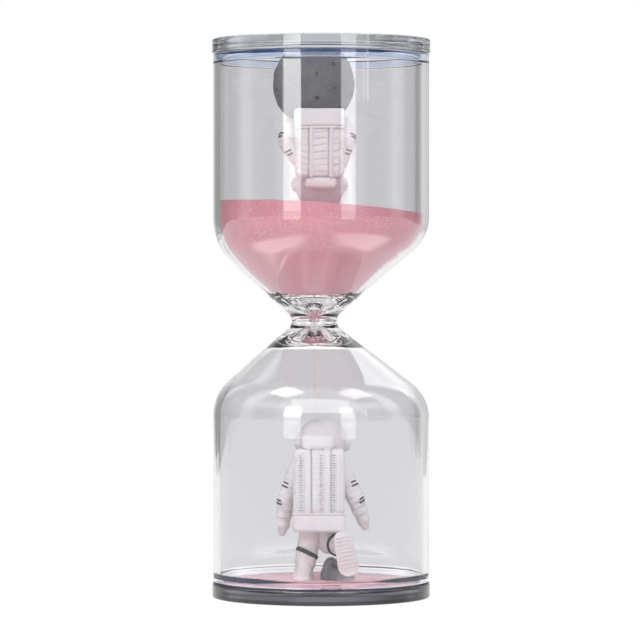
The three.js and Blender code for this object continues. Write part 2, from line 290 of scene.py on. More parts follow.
def ripple(points, scale, seed):
    """Smooth bumps between -1 and 1 made of a few slanted waves."""
    chance = np.random.default_rng(seed)
    total = np.zeros(len(points))
    waves = 7
    for _ in range(waves):
        direction = chance.normal(size=3)
        direction /= np.linalg.norm(direction)
        stretch = chance.uniform(0.6, 1.7)
        phase = chance.uniform(0, 2 * math.pi)
        total += np.sin(points @ direction * stretch * 2 * math.pi / scale + phase)
    return total / waves * 1.6


def smoothstep(value, low, high):
    part = np.clip((value - low) / (high - low), 0, 1)
    return part * part * (3 - 2 * part)


# ---- materials ----

def new_material(name, color, roughness):
    material = bpy.data.materials.new(name)
    material.use_nodes = True
    material.diffuse_color = (*color, 1)
    tree = material.node_tree
    shader = tree.nodes["Principled BSDF"]
    shader.inputs["Base Color"].default_value = (*color, 1)
    shader.inputs["Roughness"].default_value = roughness
    return material, tree, shader


def grain(tree, scale, detail=4.0, stretch=(1, 1, 1)):
    """Noise in the object's own metres, so scale is in bumps per metre."""
    place = tree.nodes.new("ShaderNodeTexCoord")
    mapping = tree.nodes.new("ShaderNodeMapping")
    mapping.inputs["Scale"].default_value = stretch
    noise = tree.nodes.new("ShaderNodeTexNoise")
    noise.inputs["Scale"].default_value = scale
    noise.inputs["Detail"].default_value = detail
    tree.links.new(place.outputs["Object"], mapping.inputs["Vector"])
    tree.links.new(mapping.outputs["Vector"], noise.inputs["Vector"])
    return noise.outputs["Fac"]


def cells(tree, scale):
    place = tree.nodes.new("ShaderNodeTexCoord")
    voronoi = tree.nodes.new("ShaderNodeTexVoronoi")
    voronoi.inputs["Scale"].default_value = scale
    tree.links.new(place.outputs["Object"], voronoi.inputs["Vector"])
    return voronoi


def map_range(tree, source, from_min, from_max, to_min=0.0, to_max=1.0):
    span = tree.nodes.new("ShaderNodeMapRange")
    span.inputs["From Min"].default_value = from_min
    span.inputs["From Max"].default_value = from_max
    span.inputs["To Min"].default_value = to_min
    span.inputs["To Max"].default_value = to_max
    tree.links.new(source, span.inputs["Value"])
    return span.outputs["Result"]


def arithmetic(tree, operation, first, second=None):
    node = tree.nodes.new("ShaderNodeMath")
    node.operation = operation
    tree.links.new(first, node.inputs[0])
    if second is not None:
        tree.links.new(second, node.inputs[1])
    return node.outputs[0]


def coordinates(tree, space):
    """The place of a point and its X, Y and Z."""
    place = tree.nodes.new("ShaderNodeTexCoord").outputs[space]
    split = tree.nodes.new("ShaderNodeSeparateXYZ")
    tree.links.new(place, split.inputs["Vector"])
    return place, split.outputs["X"], split.outputs["Y"], split.outputs["Z"]


def grey_ramp(tree, source, stops):
    """A ramp of grey values, given as (position, value)."""
    ramp = tree.nodes.new("ShaderNodeValToRGB")
    elements = ramp.color_ramp.elements
    while len(elements) < len(stops):
        elements.new(0.5)
    for element, (position, value) in zip(elements, stops):
        element.position = position
        element.color = (value, value, value, 1)
    tree.links.new(source, ramp.inputs["Fac"])
    return ramp.outputs["Color"]


def mottle(tree, scale, low, high, detail=4.0):
    """Noise with its middle part, 0.3 to 0.7, stretched over low to high."""
    return map_range(tree, grain(tree, scale, detail), 0.3, 0.7, low, high)


def blend_colors(tree, factor, first, second):
    mix = tree.nodes.new("ShaderNodeMix")
    mix.data_type = "RGBA"
    tree.links.new(factor, mix.inputs["Factor"])
    for socket, color in ((mix.inputs["A"], first), (mix.inputs["B"], second)):
        if isinstance(color, bpy.types.NodeSocket):
            tree.links.new(color, socket)
        else:
            socket.default_value = (*color, 1)
    return mix.outputs["Result"]


def raise_bumps(tree, shader, heights):
    """Chains bumps, each given as (height socket, strength, distance in metres)."""
    normal = None
    for height, strength, distance in heights:
        bump = tree.nodes.new("ShaderNodeBump")
        bump.inputs["Strength"].default_value = strength
        bump.inputs["Distance"].default_value = distance
        tree.links.new(height, bump.inputs["Height"])
        if normal is not None:
            tree.links.new(normal, bump.inputs["Normal"])
        normal = bump.outputs["Normal"]
    tree.links.new(normal, shader.inputs["Normal"])


def hollow_shade_mask(tree, low, high):
    """1 on proud edges and 0 in hollows, where painted shade goes."""
    geometry = tree.nodes.new("ShaderNodeNewGeometry")
    return map_range(tree, geometry.outputs["Pointiness"], low, high)


def glass_material(name, color, ripples=0.0):
    material, tree, shader = new_material(name, color, 0.0)
    shader.inputs["Transmission Weight"].default_value = 1
    shader.inputs["IOR"].default_value = 1.48
    if ripples:
        wave = grain(tree, 60, 1.0, (1, 1, 0.25))
        raise_bumps(tree, shader, [(wave, ripples, 0.001)])
    return material


def resin_material(name, light, shade, roughness):
    """Matt paint on cast resin: painted shade in the hollows, faint mottling and a fine tooth."""
    material, tree, shader = new_material(name, light, roughness)
    mottled = blend_colors(tree, mottle(tree, 260, 0, 0.5), light, shade)
    # Painted shade: the hollows are darkened towards a deeper copy of the shade tone.
    out_of_hollow_shade = hollow_shade_mask(tree, 0.44, 0.5)
    with_hollow_shade = blend_colors(tree, out_of_hollow_shade, tuple(0.72 * part for part in shade), mottled)
    tree.links.new(with_hollow_shade, shader.inputs["Base Color"])
    uneven = mottle(tree, 900, roughness - 0.1, roughness + 0.12)
    tree.links.new(uneven, shader.inputs["Roughness"])
    raise_bumps(tree, shader, [
        (grain(tree, 1400, 3.0), 0.22, 0.0002),
        (grain(tree, 5200, 2.0), 0.15, 0.0001),
    ])
    return material


def moon_material(name):
    material, tree, shader = new_material(name, (0.17, 0.17, 0.185), 0.75)
    dust = blend_colors(
        tree, mottle(tree, 160, 0, 1, 6.0), (0.095, 0.095, 0.11), (0.155, 0.155, 0.17),
    )
    specks = blend_colors(tree, mottle(tree, 3200, 0, 0.6, 2.0), dust, (0.25, 0.25, 0.26))
    # Painted shade: the hollows of the moon are darkened nearly to black.
    moon_hollow_shaded = blend_colors(tree, hollow_shade_mask(tree, 0.42, 0.5), (0.05, 0.05, 0.055), specks)
    tree.links.new(moon_hollow_shaded, shader.inputs["Base Color"])
    tree.links.new(mottle(tree, 700, 0.62, 0.9), shader.inputs["Roughness"])
    pits = cells(tree, 900)
    raise_bumps(tree, shader, [
        (pits.outputs["Distance"], 0.25, 0.0002),
        (grain(tree, 2600, 4.0), 0.35, 0.0002),
    ])
    return material


def sand_material(name, deep, light, painted_light_tint, painted_light_heights):
    """Every grain is one cell with its own tint. Between two heights the sand grows paler lower down:
    painted light from below.
    """
    material, tree, shader = new_material(name, deep, 0.9)
    grains = cells(tree, 3400)
    part = tree.nodes.new("ShaderNodeSeparateColor")
    tree.links.new(grains.outputs["Color"], part.inputs["Color"])
    tinted = blend_colors(tree, part.outputs["Red"], deep, light)
    drifts = blend_colors(tree, mottle(tree, 90, 0, 0.35, 3.0), tinted, deep)
    _, _, _, height = coordinates(tree, "Object")
    # Painted light: lower down, the sand is blended towards a paler tint that stands in for light from
    # below.
    painted_light_mask = map_range(tree, height, *painted_light_heights)
    with_painted_light = blend_colors(tree, painted_light_mask, drifts, painted_light_tint)
    flecks = map_range(tree, part.outputs["Green"], 0.93, 0.97)
    colored = blend_colors(tree, flecks, with_painted_light, (0.96, 0.66, 0.68))
    tree.links.new(colored, shader.inputs["Base Color"])
    tree.links.new(mottle(tree, 2000, 0.75, 1.0), shader.inputs["Roughness"])
    raise_bumps(tree, shader, [
        (grain(tree, 420, 4.0), 0.2, 0.0004),
        (grains.outputs["Distance"], 0.35, 0.0002),
    ])
    return material


def gloss_material(name, color, roughness):
    material, tree, shader = new_material(name, color, roughness)
    deep = tuple(0.6 * part for part in color)
    clouded = blend_colors(tree, mottle(tree, 300, 0, 1), color, deep)
    tree.links.new(clouded, shader.inputs["Base Color"])
    uneven = mottle(tree, 800, roughness, roughness + 0.12)
    tree.links.new(uneven, shader.inputs["Roughness"])
    raise_bumps(tree, shader, [(grain(tree, 500, 2.0), 0.05, 0.0002)])
    return material


# Painted shade: the bulb and disc faces are tinted grey, which darkens everything seen through them in
# place of a dimmer backdrop.
shade_grey_bulb_glass = glass_material("shade_grey_blown_glass", (0.79, 0.785, 0.80), ripples=0.02)
shade_grey_face_glass = glass_material("shade_grey_disc_face_glass", (0.86, 0.87, 0.88))
lid_rim_glass = glass_material("lid_rim_glass", (0.49, 0.51, 0.545))
# Painted shade: the lower disc's side has dark glass in three bands, darkest at the foot.
base_rim_shade_glass = glass_material("base_rim_shade_glass", (0.155, 0.15, 0.18))
base_edge_shade_glass = glass_material("base_edge_shade_glass", (0.085, 0.08, 0.11))
base_foot_shade_glass = glass_material("base_foot_shade_glass", (0.03, 0.026, 0.032))
seal_glass = glass_material("seal_glass", (0.84, 0.865, 0.91))
seal_blue = glass_material("seal_blue_glass", (0.66, 0.73, 0.86))
glue = gloss_material("navy_glue", (0.006, 0.01, 0.035), 0.25)
blue_glue = gloss_material("blue_glue", (0.035, 0.075, 0.19), 0.25)
suit = resin_material("suit_resin", (0.87, 0.842, 0.85), (0.79, 0.75, 0.765), 0.55)
helmet_paint = resin_material("helmet_resin", (0.76, 0.715, 0.74), (0.68, 0.635, 0.66), 0.4)
trim = gloss_material("dark_trim", (0.006, 0.005, 0.006), 0.5)
thread = resin_material("stitch_thread", (0.36, 0.31, 0.33), (0.28, 0.24, 0.26), 0.7)
visor_gloss = gloss_material("visor_gloss", (0.02, 0.016, 0.012), 0.08)
moon_stone = moon_material("moon_resin")
# The third colour is painted light, a paler sand lower down that comes in between the two heights.
sand = sand_material(
    "pink_sand", (0.84, 0.33, 0.39), (0.94, 0.46, 0.52), (0.98, 0.53, 0.59), (0.124, 0.106),
)
thin_sand = sand_material(
    "thin_pink_sand", (0.88, 0.45, 0.52), (0.96, 0.60, 0.66), (0.95, 0.58, 0.64), (0.0075, 0.005),
)


# ---- vessel outlines ----
# Each is a list of (radius, height above or below the waist).

def outer_outline(bulb, steps=10):
    cone = math.radians(bulb["cone"])
    shoulder = bulb["shoulder"]
    points = arc((WAIST_RADIUS + WAIST_FILLET, 0), WAIST_FILLET, math.pi, math.pi - cone, steps)
    cone_radius, cone_rise = points[-1]
    arc_radius = GLASS_RADIUS - shoulder * (1 - math.cos(cone))
    arc_rise = cone_rise + (arc_radius - cone_radius) / math.tan(cone)
    shoulder_rise = arc_rise + shoulder * math.sin(cone)
    points += arc((GLASS_RADIUS - shoulder, shoulder_rise), shoulder, -cone, 0, 2 * steps)
    points.append((GLASS_RADIUS, bulb["end"]))
    return points, shoulder_rise


def inner_outline(bulb, inset=0.0, steps=10):
    cone = math.radians(bulb["cone"])
    funnel = math.radians(bulb["funnel"])
    bore = ORIFICE_RADIUS - inset
    rim = RIM_FILLET + inset
    points = [(bore, 0)]
    points += arc((bore + rim, bulb["rim_start"]), rim, math.pi, math.pi - funnel, steps)
    funnel_radius, funnel_rise = points[-1]
    outer, shoulder_rise = outer_outline(bulb, steps)
    cone_radius, cone_rise = outer[steps]
    start = cone_radius - (WALL + inset) / math.cos(cone)
    meet = (funnel_radius - start + math.tan(cone) * cone_rise - math.tan(funnel) * funnel_rise) / (
        math.tan(cone) - math.tan(funnel))
    meet_radius = funnel_radius + math.tan(funnel) * (meet - funnel_rise)
    bend = 2.6
    first = (meet_radius - bend * math.sin(funnel), meet - bend * math.cos(funnel))
    last = (meet_radius + bend * math.sin(cone), meet + bend * math.cos(cone))
    for step in range(7):
        part = step / 6
        points.append(tuple(
            (1 - part) ** 2 * a + 2 * part * (1 - part) * b + part ** 2 * c
            for a, b, c in zip(first, (meet_radius, meet), last)
        ))
    inner = GLASS_RADIUS - WALL - inset
    shoulder = bulb["shoulder"] - WALL - inset
    points += arc((inner - shoulder, shoulder_rise), shoulder, -cone, 0, 2 * steps)
    points.append((inner, bulb["end"]))
    return points


def into_vessel(points):
    """Moves points made about the waist to their height, and the waist to one side."""
    rise = points[:, 2]
    above = 1 - smoothstep(rise, UPPER_BULB["shift_from"], UPPER_BULB["shift_to"])
    under = 1 - smoothstep(-rise, LOWER_BULB["shift_from"], LOWER_BULB["shift_to"])
    placed = points.copy()
    placed[:, 0] += NECK_SHIFT * np.where(rise > 0, above, under)
    placed[:, 2] += WAIST_HEIGHT
    return placed


def below(outline):
    return [(radius, -rise) for radius, rise in reversed(outline[1:])]


def even_wall(outline, spacing=4.0):
    """Adds points along the long straight runs so the glass can ripple there."""
    points = [outline[0]]
    for start, end in zip(outline, outline[1:]):
        length = math.dist(start, end)
        pieces = max(1, int(length // spacing))
        for piece in range(1, pieces + 1):
            part = piece / pieces
            points.append(tuple(a + (b - a) * part for a, b in zip(start, end)))
    return points


# ---- glass, discs and seals ----

def glass_body():
    turns = 192
    outer = even_wall(below(outer_outline(LOWER_BULB)[0]) + outer_outline(UPPER_BULB)[0])
    inner = even_wall(below(inner_outline(LOWER_BULB)) + inner_outline(UPPER_BULB))
    points, faces = spin(outer + inner[::-1], turns)
    # The blown wall has faint lengthwise ripples inside, and none at the bore.
    radius = np.hypot(points[:, 0], points[:, 1])
    angle = np.arctan2(points[:, 1], points[:, 0])
    inside = np.tile(np.arange(len(outer) + len(inner)) >= len(outer), turns)
    wave = 0.5 * np.sin(9 * angle + 1.3) + 0.35 * np.sin(17 * angle + 4) + 0.25 * np.sin(31 * angle)
    depth = 0.045 * smoothstep(radius, 12, 30) * inside
    # Round the waist the inside is fluted, which breaks the light up into petals.
    away = np.where(points[:, 2] > 0, points[:, 2], -1.3 * points[:, 2])
    near_waist = smoothstep(radius, 1.5, 3) * (1 - smoothstep(away, 9, 12)) * inside
    turned = angle + math.pi / 2
    flutes = near_waist * (0.09 * np.cos(16 * turned) + 0.04 * np.cos(30 * turned))
    points[:, :2] *= (1 + (depth * wave + flutes) / np.maximum(radius, 1))[:, None]
    return into_vessel(points), faces


def disc(low):
    """A thick disc with softened rims and two lines round its side."""
    high = low + DISC_TOP
    soft = 0.6
    flat = DISC_RADIUS - 12
    outline = [(0, low), (flat, low)]
    outline += arc((DISC_RADIUS - soft, low + soft), soft, -QUARTER, 0, 6)
    outline += [(DISC_RADIUS, low + FOOT_TOP), (DISC_RADIUS, low + EDGE_LOW)]
    outline += arc((DISC_RADIUS - soft, high - soft), soft, 0, QUARTER, 6)
    outline += [(flat, high), (0, high)]
    return spin(outline, 192)


def tint_rim(piece, low, rims):
    """Gives the side of a disc its own glass, given as (top height, material) from below."""
    mesh = piece.data
    for _, material in rims:
        mesh.materials.append(material)
    for polygon in mesh.polygons:
        if abs(polygon.normal.z) > 0.9:
            continue
        height = polygon.center.z / MM - low
        polygon.material_index = 1 + sum(height > top for top, _ in rims[:-1])


def ring(inner, outer, low, high, bulge=0.0):
    middle = (low + high) / 2
    outline = [
        (inner, low), (outer, low), (outer + bulge, middle), (outer, high), (inner, high),
        (inner - bulge, middle),
    ]
    return spin(outline, 192)


def glue_line(middle, swells, thin=0.06):
    """A dark ring of glue. Each swell is (middle degree, half its reach, thickness)."""
    points, faces = ring(SEAL_INNER + 0.1, GLASS_RADIUS - 0.05, middle - 0.5, middle + 0.5)
    degrees = np.degrees(np.arctan2(points[:, 1], points[:, 0])) % 360
    thickness = np.full(len(points), thin)
    for centre, reach, most in swells:
        away = np.abs((degrees - centre + 180) % 360 - 180)
        thickness = np.maximum(thickness, most * (1 - smoothstep(away, 0.3 * reach, reach)))
    points[:, 2] = middle + (points[:, 2] - middle) * thickness
    return points, faces


add_piece("glass_vessel", glass_body(), shade_grey_bulb_glass, "glass_body")
lower_disc = add_piece("lower_glass_disc", disc(0), shade_grey_face_glass, "bottom_disc")
upper_disc = add_piece("upper_glass_disc", disc(CEILING), shade_grey_face_glass, "top_disc")
# The lower disc's side gets the dark glass bands of painted shade, darkest at the foot.
tint_rim(lower_disc, 0, [
    (FOOT_TOP, base_foot_shade_glass), (EDGE_LOW, base_rim_shade_glass), (DISC_TOP, base_edge_shade_glass),
])
tint_rim(upper_disc, CEILING, [(DISC_TOP, lid_rim_glass)])
GLUE = (
    ("lower", "bottom_seal_ring", "disc", DISC_TOP + 0.2, [(268, 75, 0.75), (90, 70, 0.25)]),
    (
        "lower", "bottom_seal_ring", "rim", GLASS_LOW - 0.9,
        [(208, 56, 1.6), (326, 32, 1.3), (60, 60, 0.3)],
    ),
    ("upper", "top_seal_ring", "disc", CEILING - 0.75, [(262, 75, 1.2), (90, 60, 0.3)]),
    ("upper", "top_seal_ring", "rim", GLASS_HIGH + 0.3, [(185, 20, 0.5), (355, 20, 0.5)]),
)
for level, node, glass, low, high in (
    ("lower", "bottom_seal_ring", seal_glass, DISC_TOP + 0.6, GLASS_LOW - 1.75),
    ("upper", "top_seal_ring", seal_blue, GLASS_HIGH + 0.6, CEILING - 0.4),
):
    collar = ring(SEAL_INNER, GLASS_RADIUS, low, high, 0.1)
    add_piece(f"{level}_seal_collar", collar, glass, node)
for level, node, place, height, swells in GLUE:
    color = blue_glue if (level, place) == ("upper", "disc") else glue
    add_piece(f"{level}_glue_at_{place}", glue_line(height, swells), color, node)


# ---- astronauts ----

def folds(points, centres, size=0.16):
    """Creases in cloth round each joint, given as (centre, direction, reach)."""
    total = 0.07 * ripple(points, 5.5, 11) + 0.05 * ripple(points, 2.6, 12)
    for centre, direction, reach in centres:
        away = points - np.array(centre)
        near = np.exp(-(np.linalg.norm(away, axis=1) / reach) ** 2)
        along = away @ np.array(Vector(direction).normalized())
        total += size * near * np.sin(along * 2 * math.pi / 2.1 + 0.6 * ripple(points, 6, 13))
    return total


def helmet_parts(figure):
    x, y, z = figure["head"]
    radius = HELMET_RADIUS

    def hollow(points):
        """Sinks the front, where the visor sits, and leaves a raised rim round it."""
        away = points - np.array((x, y, z))
        across = np.hypot(away[:, 0] / 6.9, away[:, 2] / 5.3)
        front = away[:, 1] > 0
        rim = np.exp(-((across - 1.06) / 0.09) ** 2) * 0.35
        painted_light_mask = -1.0 * (1 - smoothstep(across, 0.88, 1.0))
        seam = -0.05 * np.exp(-(away[:, 0] / 0.22) ** 2) * (away[:, 1] < -1)
        return np.where(front, rim + painted_light_mask, seam) + 0.02 * ripple(points, 3.5, 5)

    shell = fuse([ball((x, y, z), (radius, radius, radius), 72, 48)], 0.28, 3, hollow)
    visor = ball((x, y + 2.9, z), (6.5, 6.0, 5.0), 64, 40)
    ears = []
    for side in (-1, 1):
        start = (x + side * (radius - 1.6), y, z - 0.6)
        for size, out in ((3.0, 1.0), (2.3, 1.9), (1.2, 2.35)):
            ears.append(disc_cap(start, (side, 0, 0), size, out + 0.6))
    collar = [
        band((x, y - 0.2, z - radius + 1.3), (0, 0, 1), 5.9, 1.5, 1.3),
        band((x, y - 0.2, z - radius + 0.1), (0, 0, 1), 6.3, 1.0, 1.1),
    ]
    return shell, visor, together(ears), together(collar)


def disc_cap(start, along, radius, height):
    """A low round button with a softened rim."""
    soft = 0.28
    outline = [(0, 0), (radius, 0)]
    outline += arc((radius - soft, height - soft), soft, 0, QUARTER, 5)
    outline.append((0, height))
    return along_axis(spin(outline, 40), start, along)


def torso_parts(figure):
    x, y, low = figure["seat"]
    tall = figure["shoulder"] - low
    shapes = [
        ball((x, y, low + 2.5), (7.2, 5.4, 5.2)),
        ball((x, y, low + tall * 0.62), (8.4, 5.8, tall * 0.46)),
        limb((x, y, figure["shoulder"]), (x, y, figure["shoulder"] + 2), 5.6, 5.2),
    ]
    creases = [
        ((x, y, low + 6.5), (0.1, 0, 1), 8),
        ((x - 7, y, figure["shoulder"] - 4), (-0.7, 0, 0.7), 4),
        ((x + 7, y, figure["shoulder"] - 4), (0.7, 0, 0.7), 4),
    ]
    belt = band((x, y, low + 6.2), (0, 0, 1), 7.3, 1.5, 0.8, squeeze=(1, 0.78))
    return fuse(shapes, 0.32, 8, lambda points: folds(points, creases)), belt


def pack_parts(figure):
    pack = figure["pack"]
    left, right, base, mid = pack["left"], pack["right"], pack["base"], pack["mid"]
    top, flap, back, front = pack["top"], pack["flap"], pack["back"], pack["front"]
    centre = (left + right) / 2
    depth = front - back
    middle = (back + front) / 2
    strap_places = (centre - 4.0, centre + 2.8)
    strap_half = pack["strap"] / 2

    def cloth(points):
        """Soft folds across the back, a crease beside each strap and loose ripples."""
        x, height = points[:, 0], (points[:, 2] - mid) / (top - mid)
        on_back = smoothstep(-points[:, 1], -back - 2.5, -back - 0.5)
        sag = height + 0.012 * ((x - centre) / 4) ** 2
        drift = 0.35 * np.sin(7 * height + 0.25 * x) + 0.3 * np.sin(0.7 * x + 2)
        row = np.abs(np.sin(sag * pack["rows"] * math.pi + drift))
        fold = -pack["fold"] * np.exp(-(row / 0.3) ** 2) * on_back
        for place in strap_places:
            fold -= 0.42 * np.exp(-((x - place - strap_half - 0.32) / 0.26) ** 2) * on_back
        seam = -0.25 * np.exp(-((np.abs(x - centre) - (right - left) / 2 + 1.5) / 0.22) ** 2) * on_back
        return fold + seam + 0.09 * ripple(points, 6, 21) + 0.05 * ripple(points, 2.4, 22)

    size = (right - left, depth, top - mid)
    body = fuse([block((centre, middle, (mid + top) / 2), size, 2.2, 5)], 0.24, 2, cloth)
    lower_size = (right - left + 0.6, depth + 0.7, mid - base)
    base_box = fuse(
        [block((centre, middle - 0.2, (base + mid) / 2), lower_size, 1.1, 4)],
        0.3, 2, lambda points: 0.05 * ripple(points, 5, 31),
    )
    rim_size = (right - left + 0.1, depth + 0.5, 0.7)
    rim = block((centre, middle - 0.1, mid + 0.3), rim_size, 0.3, 3)
    lid_size = (11.2, depth - 0.8, flap - top + 0.6)
    lid = fuse(
        [block((centre - 0.5, middle - 0.5, (top + flap) / 2 - 0.1), lid_size, 1.9, 5)],
        0.26, 3, lambda points: 0.05 * ripple(points, 4, 41),
    )
    straps = []
    stitches = []
    upright_size = (pack["strap"], 0.9, top - mid - 0.5)
    over_size = (pack["strap"], depth + 0.5, 0.7)
    for place in strap_places:
        straps.append(block((place, back - 0.2, (mid + top) / 2), upright_size, 0.3, 3))
        straps.append(block((place, middle, top + 0.1), over_size, 0.3, 3))
    if not pack["stitched"]:
        return body, base_box, rim, lid, together(straps)
    columns = [(strap_places[1], 1), (strap_places[1], -1), (strap_places[0], -1)]
    chance = np.random.default_rng(5)
    for place, side in columns:
        for row in range(int((top - mid - 3) / 0.85)):
            z = mid + 1.6 + row * 0.85 + chance.uniform(-0.1, 0.1)
            x = place + side * (strap_half + 1.25) + chance.uniform(-0.15, 0.15)
            length = chance.uniform(0.35, 0.8)
            stitches.append(ball((x, back - 0.08, z), (length, 0.22, 0.12), 12, 6))
    return body, base_box, rim, lid, together(straps), together(stitches)


def arm_parts(arm):
    shoulder, elbow, hand = (Vector(arm[part]) for part in ("shoulder", "elbow", "hand"))
    lower = (hand - elbow).normalized()
    wrist = hand - lower * 4.6
    shapes = [
        limb(shoulder, elbow, LIMB_RADIUS, LIMB_RADIUS - 0.3),
        limb(elbow, wrist, LIMB_RADIUS - 0.3, 2.8),
    ]
    creases = [
        (elbow, hand - shoulder, 4.2),
        (shoulder.lerp(elbow, 0.5), elbow - shoulder, 3.4),
        (wrist, lower, 3.0),
    ]
    sleeve = fuse(shapes, 0.26, 3, lambda points: folds(points, creases, 0.26))
    cuff = together([
        band(wrist + lower * 1.0, lower, 2.5, 1.3, 0.9),
        band(wrist + lower * 2.1, lower, 2.35, 0.7, 0.7),
    ])
    outward = math.copysign(1, elbow.x - shoulder.x)
    ahead = lower.cross(Vector((outward, 0, 0))).normalized()
    if ahead.y < 0:
        ahead = -ahead

    def fingers(points):
        away = points - np.array(hand)
        side = away @ np.array(ahead)
        down = away @ np.array(lower)
        lines = np.exp(-(np.sin(side * math.pi / 1.35) / 0.35) ** 2)
        return -0.22 * lines * smoothstep(down, 0, 1.2) + 0.03 * ripple(points, 2, 51)

    glove = fuse([
        limb(wrist + lower * 1.6, hand, 2.2, 2.45),
        limb(hand - ahead * 0.6, hand + lower * 2.6 - ahead * 0.4, 2.3, 1.5),
        limb(hand + ahead * 0.5, hand + lower * 2.2 + ahead * 0.9, 2.2, 1.4),
        limb(hand + ahead * 1.2, hand + ahead * 2.9 + lower * 0.9, 1.3, 0.9),
        ball(hand, (2.5, 2.6, 2.5)),
    ], 0.22, 3, fingers)
    marks = []
    facing = (0.62 * outward, -0.78, 0)
    for place, direction, radius in (
        (shoulder.lerp(elbow, 0.62), elbow - shoulder, LIMB_RADIUS - 0.15),
        (elbow.lerp(wrist, 0.1), lower, LIMB_RADIUS - 0.25),
    ):
        along = Vector(direction).normalized()
        for row, sweep in enumerate((34, 46)):
            marks.append(short_band(place + along * (row - 0.5) * 1.3, along, radius, facing, sweep))
    return sleeve, cuff, glove, together(marks)


def short_band(start, along, radius, facing, sweep, width=0.6, thickness=0.55):
    """Part of a band, centred on the direction it faces and reaching sweep degrees."""
    turn = Vector(along).to_track_quat("Z", "Y")
    local = turn.inverted() @ Vector(facing)
    middle = math.atan2(local.y, local.x)
    count = 10
    steps = 12
    points = []
    for step in range(steps + 1):
        angle = middle + math.radians(sweep) * (step / steps - 0.5)
        for corner in range(count):
            round_angle = 2 * math.pi * corner / count
            reach = radius + thickness / 2 * math.cos(round_angle)
            points.append((
                reach * math.cos(angle), reach * math.sin(angle), width / 2 * math.sin(round_angle),
            ))
    faces = [face[::-1] for face in tube_faces(steps + 1, count)]
    return along_axis((np.array(points), faces), start, along)


def boot_matrix(boot):
    up = Vector(boot["up"]).normalized()
    toe = Vector(boot["toe"]).normalized()
    across = toe.cross(up)
    matrix = Matrix((across, toe, up)).transposed().to_4x4()
    matrix.translation = Vector(boot["at"])
    return matrix


SOLE_BACK = -6.0
SOLE_AHEAD = 9.8
TOE_HALF = 3.7
HEEL_HALF = 3.1


def leg_parts(leg):
    hip, knee, ankle = (Vector(leg[part]) for part in ("hip", "knee", "ankle"))
    shin = (ankle - knee).normalized()
    shapes = [
        limb(hip, knee, LIMB_RADIUS + 0.6, LIMB_RADIUS + 0.3),
        limb(knee, ankle, LIMB_RADIUS + 0.3, LIMB_RADIUS),
    ]
    creases = [
        (knee, ankle - hip, 4.5),
        (hip, knee - hip, 3.5),
    ]
    trouser = fuse(shapes, 0.3, 5, lambda points: folds(points, creases, 0.18))
    middle = knee.lerp(ankle, leg["band"])
    band_along = shin + Vector(leg.get("band_lean", (0, 0, 0)))
    ankle_band = band(middle, band_along, LIMB_RADIUS + 0.22, leg["band_width"], 0.8)

    place = boot_matrix(leg["boot"])
    local_ankle = place.inverted() @ ankle
    upper = fuse([
        ball((0, 4, 2.6), (3.3, 5.3, 3.2)),
        ball((0, -2, 3.4), (3.0, 3.7, 4.0)),
        limb((0, -1.4, 3.4), local_ankle, 3.0, 3.3),
        ball((0, 1.9, 1.2), (3.2, 7.2, 1.2)),
    ], 0.28, 3, boot_relief)
    upper[0][:, 2] = np.maximum(upper[0][:, 2], 0.9)
    upper = moved(upper, place)
    sole_shapes = [sole_plate(0.5, 2.1)]
    count = 12
    for row in range(count):
        y = SOLE_BACK + (SOLE_AHEAD - SOLE_BACK) * (row + 0.5) / count
        reach = sole_reach(y, 0.6)
        if reach > 0.8:
            sole_shapes.append(block((0, y, 0.42), (2 * reach, 0.8, 0.84), 0.24, 2))
    sole = moved(together(sole_shapes), place)
    return trouser, ankle_band, upper, sole


def boot_relief(points):
    """Two creases over the instep and upright grooves round the heel."""
    instep = np.sin(points[:, 1] * 2 * math.pi / 1.9) * np.exp(-((points[:, 1] - 1.2) / 1.6) ** 2)
    heel = np.sin(points[:, 0] * 2 * math.pi / 1.7 + 0.8) * smoothstep(-points[:, 1], 4.6, 5.6)
    low = 1 - smoothstep(points[:, 2], 3.6, 5.2)
    return 0.16 * instep * smoothstep(points[:, 2], 2, 4) + 0.24 * heel * low


def sole_reach(y, inset):
    """Half the width of the sole's outline at y, taken in by an inset."""
    if y > SOLE_AHEAD - TOE_HALF:
        beyond = y - (SOLE_AHEAD - TOE_HALF)
        return math.sqrt(max((TOE_HALF - inset) ** 2 - beyond ** 2, 0))
    if y < SOLE_BACK + HEEL_HALF:
        beyond = SOLE_BACK + HEEL_HALF - y
        return math.sqrt(max((HEEL_HALF - inset) ** 2 - beyond ** 2, 0))
    part = (y - SOLE_BACK - HEEL_HALF) / (SOLE_AHEAD - TOE_HALF - SOLE_BACK - HEEL_HALF)
    return HEEL_HALF + (TOE_HALF - HEEL_HALF) * part - inset


def sole_plate(low, high):
    """A foot-shaped plate with softened rims, wider at the toe than at the heel."""
    soft = 0.3
    levels = [(soft, low), (0, low + soft), (0, high - soft), (soft, high)]
    turns = 64
    rows = []
    for inset, z in levels:
        for turn in range(turns):
            angle = 2 * math.pi * (turn + 0.5) / turns
            at_toe = math.sin(angle) > 0
            half = TOE_HALF if at_toe else HEEL_HALF
            centre = SOLE_AHEAD - half if at_toe else SOLE_BACK + half
            rows.append((
                (half - inset) * math.cos(angle), centre + (half - inset) * math.sin(angle), z,
            ))
    return np.array(rows), tube_faces(len(levels), turns)


